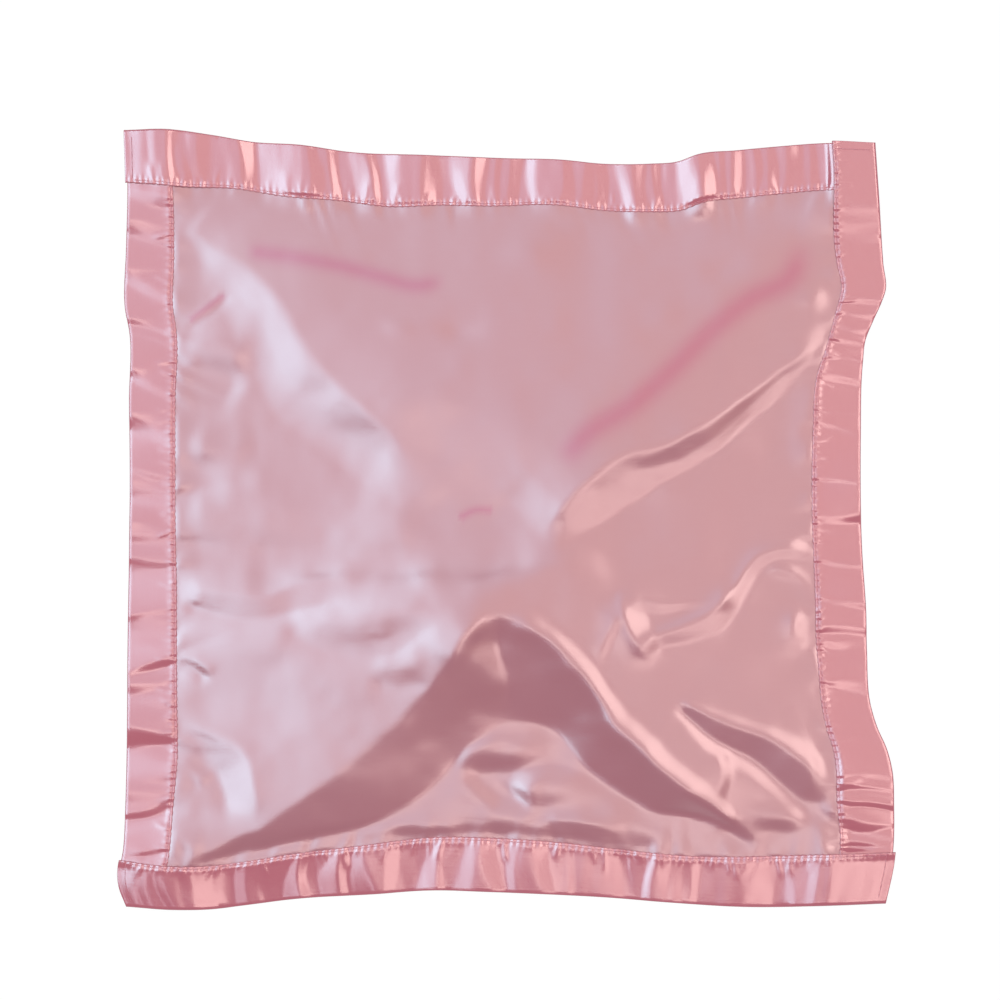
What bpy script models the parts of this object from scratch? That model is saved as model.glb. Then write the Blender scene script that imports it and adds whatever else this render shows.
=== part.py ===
# A satin comfort blanket, laid face up on a table: two satin panels, held together at their
# edges by four folded satin ribbons, each sewn down with a needle thread and a bobbin thread.
# Metres, +Z up. +Y is the top of the blanket. The origin is under its middle, on the table.

import bmesh
import bpy
from mathutils import Vector

MM = 0.001

# Whole blanket, from outer fold to outer fold
BLANKET_WIDTH = 381 * MM
BLANKET_LENGTH = 385 * MM

# Cloth and thread
PANEL_CLOTH = 0.2 * MM
BINDING_CLOTH = 0.25 * MM
THREAD_DIAMETER = 0.25 * MM
LAYER_GAP = 0.3 * MM
PANEL_TUCK = 2.6 * MM

# Binding: a satin ribbon folded in half over the panels' edges
BINDING_WIDTH = 25.4 * MM
STITCH_INSET = 2.0 * MM
GROOVE_WIDTH = 4.0 * MM
FOLD_DEPTH = 1.6 * MM
EDGE_FLARE = 0.1 * MM

# Ends of a ribbon: turned in and sewn where they show, cut short where another covers them
END_OVERHANG = 1.2 * MM
END_TURN_IN = 8.0 * MM
END_STITCH_INSET = 3.0 * MM
END_STITCH_STOP = 3.4 * MM
END_FLAT = 4.5 * MM
END_PUFF_RUN = 6.0 * MM
COVERED_CUT = 3.4 * MM
STITCH_TURN = 0.8 * MM
THREAD_START = 4.2 * MM

# Corners, where one ribbon lies over another
COVER_REACH = 1.2 * MM
COVER_EASE = 11.0 * MM

# How it lies: a low crown over its middle and the folds that run from it
CROWN_HEIGHT = 11.0 * MM
CROWN_TOP_SHARES = (0.482, 0.397)
CROWN_BLEND = 6
CROWN_CURVE = 1.25
PANEL_STEPS = 14

# Folds: height and half width as lengths, route as shares of the width and the length
NORTH_EAST_FOLD_HEIGHT = 4.5 * MM
NORTH_EAST_FOLD_SPREAD = 28.0 * MM
NORTH_EAST_FOLD_SHARES = ((0.59, 0.50), (0.73, 0.59), (0.88, 0.70))
SOUTH_EAST_FOLD_HEIGHT = 4.0 * MM
SOUTH_EAST_FOLD_SPREAD = 26.0 * MM
SOUTH_EAST_FOLD_SHARES = ((0.71, 0.27), (0.80, 0.225), (0.92, 0.155))
SOUTH_WEST_FOLD_HEIGHT = 2.5 * MM
SOUTH_WEST_FOLD_SPREAD = 24.0 * MM
SOUTH_WEST_FOLD_SHARES = ((0.09, 0.08), (0.25, 0.16), (0.38, 0.25), (0.45, 0.36))
NORTH_WEST_FOLD_HEIGHT = 3.0 * MM
NORTH_WEST_FOLD_SPREAD = 28.0 * MM
NORTH_WEST_FOLD_SHARES = ((0.14, 0.81), (0.26, 0.65), (0.40, 0.52), (0.42, 0.44))
EAST_FOLD_HEIGHT = 2.8 * MM
EAST_FOLD_SPREAD = 24.0 * MM
EAST_FOLD_SHARES = ((0.65, 0.38), (0.74, 0.37), (0.80, 0.43), (0.88, 0.45))
SOUTH_FOLD_HEIGHT = 3.0 * MM
SOUTH_FOLD_SPREAD = 26.0 * MM
SOUTH_FOLD_SHARES = ((0.36, 0.12), (0.53, 0.18), (0.74, 0.11))
WEST_FOLD_HEIGHT = 2.0 * MM
WEST_FOLD_SPREAD = 24.0 * MM
WEST_FOLD_SHARES = ((0.10, 0.44), (0.24, 0.44), (0.38, 0.42))

# Outline: how far each outer edge is drawn in, as (place along it, share of the size across it)
TOP_EDGE_SHARES = (
    (0.000, 0.003), (0.065, 0.002), (0.116, 0.009), (0.168, 0.018), (0.233, 0.022), (0.298, 0.031),
    (0.401, 0.035), (0.505, 0.039), (0.582, 0.041), (0.634, 0.046), (0.700, 0.046), (0.737, 0.043),
    (0.763, 0.034), (0.815, 0.029), (0.867, 0.024), (0.918, 0.020), (1.000, 0.022),
)
BOTTOM_EDGE_SHARES = (
    (0.000, 0.004), (0.065, 0.000), (0.116, 0.001), (0.155, 0.006), (0.220, 0.014), (0.323, 0.020),
    (0.401, 0.025), (0.479, 0.023), (0.556, 0.020), (0.634, 0.016), (0.711, 0.010), (0.815, 0.004),
    (0.918, 0.005), (1.000, 0.008),
)
LEFT_EDGE_SHARES = (
    (0.000, 0.011), (0.030, 0.001), (0.055, 0.000), (0.078, 0.004), (0.129, 0.007), (0.206, 0.009),
    (0.333, 0.010), (0.461, 0.012), (0.550, 0.013), (0.653, 0.012), (0.742, 0.012), (0.768, 0.007),
    (0.844, 0.008), (0.921, 0.010), (1.000, 0.008),
)
RIGHT_EDGE_SHARES = (
    (0.000, 0.014), (0.052, 0.003), (0.129, 0.000), (0.180, 0.003), (0.206, 0.010), (0.231, 0.021),
    (0.257, 0.029), (0.333, 0.035), (0.384, 0.036), (0.461, 0.041), (0.614, 0.043), (0.716, 0.040),
    (0.742, 0.037), (0.768, 0.027), (0.793, 0.016), (0.808, 0.011), (0.844, 0.014), (0.921, 0.019),
    (1.000, 0.024),
)

# Satin and thread colours
PANEL_PINK = (0.62, 0.37, 0.41, 1.0)
BACK_PINK = (0.60, 0.35, 0.39, 1.0)
BINDING_PINK = (0.69, 0.33, 0.38, 1.0)
THREAD_PINK = (0.72, 0.36, 0.42, 1.0)
SATIN_ROUGHNESS = 0.36
THREAD_ROUGHNESS = 0.55

# Heights of the layers above or below the middle of the cloth, at a plain stretch of the edge
PANEL_OFFSET = (LAYER_GAP + PANEL_CLOTH) / 2
SEAM_OFFSET = PANEL_OFFSET + PANEL_CLOTH / 2 + LAYER_GAP + BINDING_CLOTH / 2
THREAD_OFFSET = BINDING_CLOTH / 2 + LAYER_GAP + THREAD_DIAMETER / 2
BINDING_PUFF = LAYER_GAP + THREAD_DIAMETER
NEST = BINDING_CLOTH + LAYER_GAP
COVER_STEP = BINDING_PUFF + 2 * NEST
REST_HEIGHT = SEAM_OFFSET + BINDING_PUFF + BINDING_CLOTH / 2
COVER_END = BINDING_WIDTH + COVER_REACH


def ease(share):
    """A smooth step from 0 to 1."""
    share = min(1.0, max(0.0, share))
    return share * share * (3 - 2 * share)


def through(points, place):
    """The height of a smooth line through the points of an outline, at a place along it."""
    place = min(points[-1][0], max(points[0][0], place))
    i = max(k for k in range(len(points) - 1) if points[k][0] <= place)
    before, start, end, after = (points[min(max(i + k, 0), len(points) - 1)] for k in (-1, 0, 1, 2))
    span = end[0] - start[0]
    start_slope = (end[1] - before[1]) / (end[0] - before[0])
    end_slope = (after[1] - start[1]) / (after[0] - start[0])
    t = (place - start[0]) / span
    return (
        start[1] * (1 + 2 * t) * (1 - t) ** 2
        + start_slope * span * t * (1 - t) ** 2
        + end[1] * t * t * (3 - 2 * t)
        - end_slope * span * t * t * (1 - t)
    )


def crown(u, v):
    """The low crown: four slopes that rise from the bindings and meet over the crown's top."""
    top_u, top_v = CROWN_TOP_SHARES[0] * BLANKET_WIDTH, CROWN_TOP_SHARES[1] * BLANKET_LENGTH
    climbs = (
        (u - COVER_END) / (top_u - COVER_END),
        (BLANKET_WIDTH - COVER_END - u) / (BLANKET_WIDTH - COVER_END - top_u),
        (v - COVER_END) / (top_v - COVER_END),
        (BLANKET_LENGTH - COVER_END - v) / (BLANKET_LENGTH - COVER_END - top_v),
    )
    if min(climbs) <= 0:
        return 0.0
    rise = sum(climb**-CROWN_BLEND for climb in climbs) ** (-1 / CROWN_BLEND)
    return CROWN_HEIGHT * rise**CROWN_CURVE


def fold(u, v, height, spread, route_shares):
    """One soft fold: highest along its route, and gone where it has spread out from it."""
    spot = Vector((u, v))
    route = [Vector((s * BLANKET_WIDTH, t * BLANKET_LENGTH)) for s, t in route_shares]
    away = BLANKET_LENGTH
    for start, end in zip(route, route[1:]):
        step = end - start
        share = min(1.0, max(0.0, (spot - start).dot(step) / step.length_squared))
        away = min(away, (spot - start - share * step).length)
    return height * ease(1 - away / spread)


def relief(u, v):
    """Height of the cloth's folds. A binding is lifted as the panel's edge beside it is."""
    u = min(BLANKET_WIDTH - COVER_END, max(COVER_END, u))
    v = min(BLANKET_LENGTH - COVER_END, max(COVER_END, v))
    return (
        crown(u, v)
        + fold(u, v, NORTH_EAST_FOLD_HEIGHT, NORTH_EAST_FOLD_SPREAD, NORTH_EAST_FOLD_SHARES)
        + fold(u, v, SOUTH_EAST_FOLD_HEIGHT, SOUTH_EAST_FOLD_SPREAD, SOUTH_EAST_FOLD_SHARES)
        + fold(u, v, SOUTH_WEST_FOLD_HEIGHT, SOUTH_WEST_FOLD_SPREAD, SOUTH_WEST_FOLD_SHARES)
        + fold(u, v, NORTH_WEST_FOLD_HEIGHT, NORTH_WEST_FOLD_SPREAD, NORTH_WEST_FOLD_SHARES)
        + fold(u, v, EAST_FOLD_HEIGHT, EAST_FOLD_SPREAD, EAST_FOLD_SHARES)
        + fold(u, v, SOUTH_FOLD_HEIGHT, SOUTH_FOLD_SPREAD, SOUTH_FOLD_SHARES)
        + fold(u, v, WEST_FOLD_HEIGHT, WEST_FOLD_SPREAD, WEST_FOLD_SHARES)
    )


def near_end(along, length):
    """1 in the corner at either end of an edge, falling to 0 past the ribbon that crosses it."""
    inset = min(along, length - along)
    return 1 - ease((inset - COVER_END) / COVER_EASE)


def lie(u, v, offset):
    """Where a point of the flat cloth lies: u across, v up, offset above the cloth's middle."""
    s, t = u / BLANKET_WIDTH, v / BLANKET_LENGTH
    drawn_x = through(LEFT_EDGE_SHARES, t) * (1 - s) - through(RIGHT_EDGE_SHARES, t) * s
    drawn_y = through(BOTTOM_EDGE_SHARES, s) * (1 - t) - through(TOP_EDGE_SHARES, s) * t
    corner = near_end(u, BLANKET_WIDTH) * near_end(v, BLANKET_LENGTH)
    return Vector((
        u + BLANKET_WIDTH * (drawn_x - 1 / 2),
        v + BLANKET_LENGTH * (drawn_y - 1 / 2),
        REST_HEIGHT + COVER_STEP * corner + relief(u, v) + offset,
    ))


def stations(length):
    """Places along an edge where all layers have a row of points, so that they stay parallel."""
    start = [COVER_END, COVER_END + COVER_EASE]
    inner = length - 2 * start[-1]
    middle = [start[-1] + inner * k / PANEL_STEPS for k in range(1, PANEL_STEPS)]
    return start + middle + [length - place for place in reversed(start)]


def material(name, colour, roughness):
    made = bpy.data.materials.new(name)
    made.use_nodes = True
    shader = made.node_tree.nodes["Principled BSDF"]
    shader.inputs["Base Color"].default_value = colour
    shader.inputs["Roughness"].default_value = roughness
    shader.inputs["Metallic"].default_value = 0.0
    made.diffuse_color = colour
    return made


def cloth(name, columns, rows, place, thickness, finish):
    """A sheet of cloth: a grid whose points place(column, row) lays out, given its thickness."""
    mesh = bpy.data.meshes.new(name)
    grid = bmesh.new()
    bmesh.ops.create_grid(grid, x_segments=len(columns) - 1, y_segments=len(rows) - 1, size=1)
    for point in grid.verts:
        column = round((point.co.x + 1) / 2 * (len(columns) - 1))
        row = round((point.co.y + 1) / 2 * (len(rows) - 1))
        point.co = place(columns[column], rows[row])
    bmesh.ops.triangulate(grid, faces=grid.faces, quad_method="FIXED")
    bmesh.ops.recalc_face_normals(grid, faces=grid.faces)
    grid.to_mesh(mesh)
    grid.free()
    mesh.shade_smooth()
    mesh.materials.append(finish)
    sheet = bpy.data.objects.new(name, mesh)
    bpy.context.scene.collection.objects.link(sheet)
    solid = sheet.modifiers.new("cloth thickness", "SOLIDIFY")
    solid.thickness = thickness
    solid.offset = 0
    return sheet


def panel(name, side, finish):
    """One satin panel. side is 1 for the face and -1 for the back."""
    across = [PANEL_TUCK] + stations(BLANKET_WIDTH) + [BLANKET_WIDTH - PANEL_TUCK]
    up = [PANEL_TUCK] + stations(BLANKET_LENGTH) + [BLANKET_LENGTH - PANEL_TUCK]
    return cloth(name, across, up, lambda u, v: lie(u, v, side * PANEL_OFFSET), PANEL_CLOTH, finish)


def edge_point(edge, along, inset, offset):
    """A point beside one edge: along it from its left or lower end, and inset from its fold."""
    if edge == "left":
        return lie(inset, along, offset)
    if edge == "right":
        return lie(BLANKET_WIDTH - inset, along, offset)
    if edge == "bottom":
        return lie(along, inset, offset)
    return lie(along, BLANKET_LENGTH - inset, offset)


def edge_length(edge):
    return BLANKET_LENGTH if edge in ("left", "right") else BLANKET_WIDTH


def is_shown(edge, at_start):
    """Whether that end of a ribbon lies over its neighbour, turned in, or is covered by it."""
    return {"left": False, "top": at_start, "right": not at_start, "bottom": True}[edge]


def level(edge, along):
    """How far a ribbon stands out over the one it covers, and how far it puffs out, at a place."""
    length = edge_length(edge)
    at_start = along < length / 2
    inset = along if at_start else length - along
    if not is_shown(edge, at_start):
        return 0.0, 1.0
    cover = near_end(along, length)
    puff = ease((inset - END_FLAT) / END_PUFF_RUN)
    return cover * COVER_STEP, puff


def ribbon_profile():
    """Across the flat ribbon, from its edge on the face round to its edge on the back:
    (inset from the fold, share of the seam's offset, share of the puff)."""
    face = [
        (BINDING_WIDTH, 1.0, EDGE_FLARE / BINDING_PUFF),
        (BINDING_WIDTH - STITCH_INSET, 1.0, 0.0),
        (BINDING_WIDTH - STITCH_INSET - GROOVE_WIDTH, 1.0, 1.0),
        (FOLD_DEPTH, 1.0, 1.0),
    ]
    back = [(inset, -seam, -puff) for inset, seam, puff in reversed(face)]
    return face + [(0.0, 0.0, 0.0)] + back


def ribbon_ends(edge):
    """Stations along a ribbon near its two ends: (place along the edge, how far it is nested)."""
    length = edge_length(edge)
    half = NEST / 2
    turned = [(END_TURN_IN, 1.0), (half - END_OVERHANG, 1.0), (-END_OVERHANG, 0.5), (half - END_OVERHANG, 0.0)]
    turned += [(END_FLAT, 0.0), (END_FLAT + END_PUFF_RUN, 0.0)]
    covered = [(COVERED_CUT, 0.0)]
    start = turned if is_shown(edge, True) else covered
    end = turned if is_shown(edge, False) else covered
    return start, [(length - along, nest) for along, nest in reversed(end)]


def binding(edge, finish):
    """A ribbon folded over one edge of the panels, with its shown ends turned in."""
    start, end = ribbon_ends(edge)
    places = start + [(along, 0.0) for along in stations(edge_length(edge))] + end

    def place(spot, across):
        along, nest = spot
        inset, seam, puff = across
        stand_out, puff_share = level(edge, along)
        height = seam * (SEAM_OFFSET + stand_out - nest * NEST) + puff * puff_share * BINDING_PUFF
        tuck = nest * NEST * (1 - inset / BINDING_WIDTH)
        return edge_point(edge, along, inset + tuck, height)

    return cloth(edge + "_binding", places, ribbon_profile(), place, BINDING_CLOTH, finish)


def stitch_line(edge):
    """The seam's route as (along, inset): down a turned-in end, along the ribbon and up again."""
    length, seam = edge_length(edge), BINDING_WIDTH - STITCH_INSET
    start = [(THREAD_START, seam)]
    if is_shown(edge, True):
        start = [
            (END_STITCH_INSET, END_STITCH_STOP),
            (END_STITCH_INSET, seam / 2),
            (END_STITCH_INSET, seam - STITCH_TURN),
            (END_STITCH_INSET + STITCH_TURN, seam),
            (END_FLAT + END_PUFF_RUN, seam),
        ]
    end = [(length - THREAD_START, seam)]
    if is_shown(edge, False):
        end = [
            (length - END_FLAT - END_PUFF_RUN, seam),
            (length - END_STITCH_INSET - STITCH_TURN, seam),
            (length - END_STITCH_INSET, seam - STITCH_TURN),
            (length - END_STITCH_INSET, seam / 2),
            (length - END_STITCH_INSET, END_STITCH_STOP),
        ]
    return start + [(along, seam) for along in stations(length)] + end


def thread(edge, kind, side, finish):
    """The thread of one seam on the face (side 1) or on the back (side -1)."""
    name = edge + "_" + kind + "_thread"
    line = bpy.data.curves.new(name, "CURVE")
    line.dimensions = "3D"
    line.bevel_depth = THREAD_DIAMETER / 2
    line.bevel_resolution = 0
    line.use_fill_caps = True
    route = stitch_line(edge)
    spline = line.splines.new("POLY")
    spline.points.add(len(route) - 1)
    for point, (along, inset) in zip(spline.points, route):
        height = SEAM_OFFSET + level(edge, along)[0] + THREAD_OFFSET
        point.co = (*edge_point(edge, along, inset, side * height), 1.0)
    line.materials.append(finish)
    strand = bpy.data.objects.new(name, line)
    bpy.context.scene.collection.objects.link(strand)
    return strand


def stand_on_origin(pieces):
    """Hangs the pieces on one empty and moves it, so that the box's foot is centred on the origin."""
    blanket = bpy.data.objects.new("blanket", None)
    bpy.context.scene.collection.objects.link(blanket)
    for piece in pieces:
        piece.parent = blanket
    bpy.context.view_layer.update()
    graph = bpy.context.evaluated_depsgraph_get()
    corners = [piece.matrix_world @ point.co for piece in pieces
               for point in piece.evaluated_get(graph).to_mesh().vertices]
    low = Vector([min(corner[k] for corner in corners) for k in range(3)])
    high = Vector([max(corner[k] for corner in corners) for k in range(3)])
    blanket.location = (-(low.x + high.x) / 2, -(low.y + high.y) / 2, -low.z)


def main():
    for old in list(bpy.data.objects):
        bpy.data.objects.remove(old, do_unlink=True)
    face_satin = material("panel satin", PANEL_PINK, SATIN_ROUGHNESS)
    back_satin = material("back satin", BACK_PINK, SATIN_ROUGHNESS)
    ribbon_satin = material("binding satin", BINDING_PINK, SATIN_ROUGHNESS)
    sewing = material("sewing thread", THREAD_PINK, THREAD_ROUGHNESS)
    pieces = [panel("face_panel", 1, face_satin), panel("back_panel", -1, back_satin)]
    for edge in ("left", "top", "right", "bottom"):
        pieces.append(binding(edge, ribbon_satin))
        pieces.append(thread(edge, "needle", 1, sewing))
        pieces.append(thread(edge, "bobbin", -1, sewing))
    stand_on_origin(pieces)


main()
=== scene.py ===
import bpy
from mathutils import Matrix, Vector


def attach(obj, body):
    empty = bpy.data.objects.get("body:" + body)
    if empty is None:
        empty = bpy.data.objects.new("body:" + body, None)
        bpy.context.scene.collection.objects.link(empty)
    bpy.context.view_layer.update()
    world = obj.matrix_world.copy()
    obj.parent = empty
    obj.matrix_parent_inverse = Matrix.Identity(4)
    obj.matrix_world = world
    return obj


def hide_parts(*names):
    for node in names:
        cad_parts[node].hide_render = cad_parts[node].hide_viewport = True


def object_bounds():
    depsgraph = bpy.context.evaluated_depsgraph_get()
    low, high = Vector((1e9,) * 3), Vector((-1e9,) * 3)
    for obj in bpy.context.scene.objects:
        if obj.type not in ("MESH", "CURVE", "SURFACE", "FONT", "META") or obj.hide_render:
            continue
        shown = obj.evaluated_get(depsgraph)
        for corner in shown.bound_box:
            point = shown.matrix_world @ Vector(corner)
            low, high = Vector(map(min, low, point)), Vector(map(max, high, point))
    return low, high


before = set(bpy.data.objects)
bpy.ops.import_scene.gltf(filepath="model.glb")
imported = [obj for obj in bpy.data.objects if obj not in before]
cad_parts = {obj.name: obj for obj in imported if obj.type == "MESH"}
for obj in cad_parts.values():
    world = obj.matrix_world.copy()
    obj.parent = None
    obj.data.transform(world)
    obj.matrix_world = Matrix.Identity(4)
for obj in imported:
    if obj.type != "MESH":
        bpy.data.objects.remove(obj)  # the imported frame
cadBox = [list(corner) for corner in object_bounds()]

import math

import bpy
import numpy as np
from mathutils import Vector

mm = 0.001

# The blanket as it was cut and sewn. u runs across it and v up it, both from the lower left corner
blanket = {
    "width": 381 * mm,
    "length": 385 * mm,
    "binding": 25.4 * mm,  # a 2 inch ribbon folded in half
    "stitchInset": 1.4 * mm,  # from the ribbon's inner edge
    "stitchPitch": 3.2 * mm,
    "panelCloth": 0.14 * mm,
    "ribbonCloth": 0.16 * mm,
    "threadWidth": 0.32 * mm,
    "layerGap": 0.12 * mm,
    "puff": 0.35 * mm,  # room for the folded ribbon to stand out from its seam
    "coverReach": 1.2 * mm,  # a ribbon that covers another one is this much past its seam
    "coverEase": 30 * mm,  # and comes down to the others' level over this length
    "endOverhang": 1.2 * mm,
    "endTurnIn": 8 * mm,
    "coveredCut": 3.4 * mm,  # a covered ribbon ends this far from the blanket's edge,
    "coveredStitch": 4.2 * mm,  # its seam here,
    "endStitch": 3 * mm,  # and a turned-in end is closed by a row here
    "endStitchFold": 3.4 * mm,  # that starts this far from the outer fold
}
width, length, band = blanket["width"], blanket["length"], blanket["binding"]
panelOffset = (blanket["layerGap"] + blanket["panelCloth"]) / 2
seamOffset = panelOffset + blanket["panelCloth"] / 2 + blanket["layerGap"] + blanket["ribbonCloth"] / 2
nest = blanket["ribbonCloth"] + blanket["layerGap"]
coverStep = blanket["puff"] + 2 * nest
restHeight = seamOffset + blanket["puff"] + blanket["ribbonCloth"] / 2
coverEnd = band + blanket["coverReach"]
seamLine = band - blanket["stitchInset"]

# How far its puckered seam draws each edge in: place and draw, both in thousandths of the size
outlineShares = {
    "top": ((0, 3), (65, 2), (116, 9), (168, 18), (233, 22), (298, 31), (401, 35), (505, 39), (582, 41),
        (634, 46), (700, 46), (737, 43), (763, 34), (815, 29), (867, 24), (918, 20), (1000, 22)),
    "bottom": ((0, 4), (65, 0), (116, 1), (155, 6), (220, 14), (323, 20), (401, 25), (479, 23), (556, 20),
        (634, 16), (711, 10), (815, 4), (918, 5), (1000, 8)),
    "left": ((0, 11), (30, 1), (55, 0), (78, 4), (129, 7), (206, 9), (333, 10), (461, 12), (550, 13),
        (653, 12), (742, 12), (768, 7), (844, 8), (921, 10), (1000, 8)),
    "right": ((0, 14), (52, 3), (129, 0), (180, 3), (206, 10), (231, 21), (257, 29), (333, 35), (384, 36),
        (461, 41), (614, 43), (716, 40), (742, 37), (768, 27), (793, 16), (808, 11), (844, 14), (921, 19),
        (1000, 24)),
}
# Where a seam runs nearer to the edge or further in: place as a share of the size, shift in mm
seamShifts = {
    "top": ((0, 0.6), (0.07, 2.6), (0.16, -0.4), (0.225, 1.9), (0.29, 0.6), (0.355, 2.1), (0.42, 0.6),
        (0.485, 0.1), (0.55, -1.3), (0.61, -0.9), (0.675, -0.4), (0.74, 0.1), (0.805, -0.9), (0.87, -1.3),
        (1, -2)),
    "bottom": ((0, -2.3), (0.07, -3.8), (0.135, -3.8), (0.225, -2.3), (0.355, 1.4), (0.445, 2.8), (0.56, 2.1),
        (0.64, 0.4), (0.74, -0.6), (0.845, 0.6), (1, 0.6)),
    "left": ((0, -2.6), (0.06, -2.8), (0.14, -1.6), (0.19, -0.1), (0.27, 0.1), (0.4, -0.4), (0.525, -1.6),
        (0.65, -1.3), (0.78, -0.9), (0.87, -1.4), (0.93, -2.3), (1, -2.3)),
    "right": ((0, 1.1), (0.075, 1.1), (0.15, 3.1), (0.215, 1.1), (0.265, -0.4), (0.37, 0.9), (0.445, 0.1),
        (0.525, 0.1), (0.625, -0.4), (0.695, -1.8), (0.74, -5.8), (0.79, -3.8), (0.87, -1.3), (0.97, -3.3),
        (1, -3.3)),
}
seamBlend = 45 * mm  # how far into the panel that shift is taken up


def ease(share):
    share = np.clip(share, 0, 1)
    return share * share * (3 - 2 * share)


def smoothLine(points, places):
    # a Catmull-Rom line through given points, read at any place along it
    points = np.array(points, float)
    a, b = points[:, 0], points[:, 1]
    slopes = np.gradient(b, a)
    places = np.clip(places, a[0], a[-1])
    i = np.clip(np.searchsorted(a, places, side="right") - 1, 0, len(a) - 2)
    span = a[i + 1] - a[i]
    t = (places - a[i]) / span
    return (b[i] * (1 + 2 * t) * (1 - t) ** 2 + slopes[i] * span * t * (1 - t) ** 2
            + b[i + 1] * t * t * (3 - 2 * t) - slopes[i + 1] * span * t * t * (1 - t))


def besideRoute(x, y, points, blur=3.0, sample=4, spread=0.09):
    # distance from a route, positive to its left, and the share of it that lies behind. Both are
    # averaged over the nearby stretch of the route, so that neither jumps anywhere: over "blur" mm,
    # and more the further away the point is
    points = np.array(points, float)
    chord = np.concatenate([[0], np.cumsum(np.linalg.norm(np.diff(points, axis=0), axis=1))])
    places = np.linspace(0, chord[-1], int(chord[-1] / sample) + 2)
    route = np.stack([smoothLine(np.stack([chord, points[:, k]], 1), places) for k in (0, 1)], 1)
    steps = np.gradient(route, axis=0)
    steps /= np.linalg.norm(steps, axis=1)[:, None]
    walked = np.concatenate([[0], np.cumsum(np.linalg.norm(np.diff(route, axis=0), axis=1))])
    nearest = np.full(x.shape, np.inf)
    for px, py in route:
        nearest = np.minimum(nearest, (x - px) ** 2 + (y - py) ** 2)
    reach = 2 * (blur ** 2 + spread * nearest)
    side, behind, total = 0, 0, 1e-9
    for (px, py), (sx, sy), start in zip(route, steps, walked):
        dx, dy = x - px, y - py
        share = np.exp((nearest - dx * dx - dy * dy) / reach)
        side = side + share * (sx * dy - sy * dx)
        behind = behind + share * (start + sx * dx + sy * dy)
        total = total + share
    return side / total, behind / total / walked[-1]


# How the cloth lies, in millimetres from the middle of the blanket: x to the right, y to its top.
# Slopes rise from the four seams to a low crown; the left one changes on the way up: (y, slope)
crown = {
    "leftSlope": ((-170, 0.046), (-100, 0.05), (-33, 0.052), (-21, 0.035), (-8, 0.03), (40, 0.03),
                  (75, 0.037), (170, 0.04)),
    "rightSlope": ((-170, 0.056), (-90, 0.054), (-20, 0.048), (170, 0.046)),
    "topSlope": 0.048,
    "bottomSlope": ((-170, 0.3), (60, 0.3), (105, 0.08), (170, 0.06)),  # (x, slope)
    "softness": 0.5,
}
# The hollow below the middle falls from its rim to its floor. Shares are of the way between them
hollow = {
    "rim": ((124, -158), (113, -152), (100, -143), (80, -130), (62, -112), (52, -99), (42, -84), (30, -70),
        (20, -60), (8, -52), (0, -47), (-8, -46), (-14, -51), (-19, -59), (-25, -69), (-32, -78), (-40, -88),
        (-55, -103), (-65, -112), (-80, -123), (-100, -138), (-120, -151), (-140, -161), (-175, -177)),
    "floor": ((150, -176), (120, -166), (104, -159), (90, -154), (75, -151), (62, -143), (50, -135),
        (38, -127), (30, -117), (22, -107), (9, -103), (-3, -106), (-12, -115), (-20, -128), (-31, -141),
        (-46, -150), (-61, -156), (-75, -161), (-88, -165), (-106, -170), (-175, -186)),
    "depth": ((-120, 4.2), (-85, 4.8), (-50, 6.2), (-22, 8), (30, 8.2), (75, 6.8), (120, 5.5)),  # (x, mm)
    "rimSoft": 0.03, "floorSoft": 0.05,
    "outerReach": 40,  # mm outside the rim for a share of 1
    "floorGap": 4,  # mm over which the floor's own line is rounded off,
    "leastGap": 0.5,  # and between it and the rim at least
    "rimStart": 0.05,  # share of the rim over which the hollow sets in
    "floorLevel": 0.8,  # mm that the loose cloth on the floor stands up,
    "floorEdge": (6, 3.5, 17),  # over so many mm from the seam, more or less, and how often that changes
    "floorFrom": (0.4, 0.5),  # from this share of the way on, over this share
    "floorRight": (30, 35, 0.75),  # from this x over this length it drops by this share,
    "floorLeft": (-50, 30, 0.8),  # and so to the left
    "settle": (0.25, 0.17),  # how softly the wall meets it, and the dip at its foot
    "looseFrom": (0.85, 0.3),  # the cloth is rumpled from this share on, over this share,
    "looseCorner": (108, -136, 10, 0.45),  # and past this x and below this y, over mm, by this share
}
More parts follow.
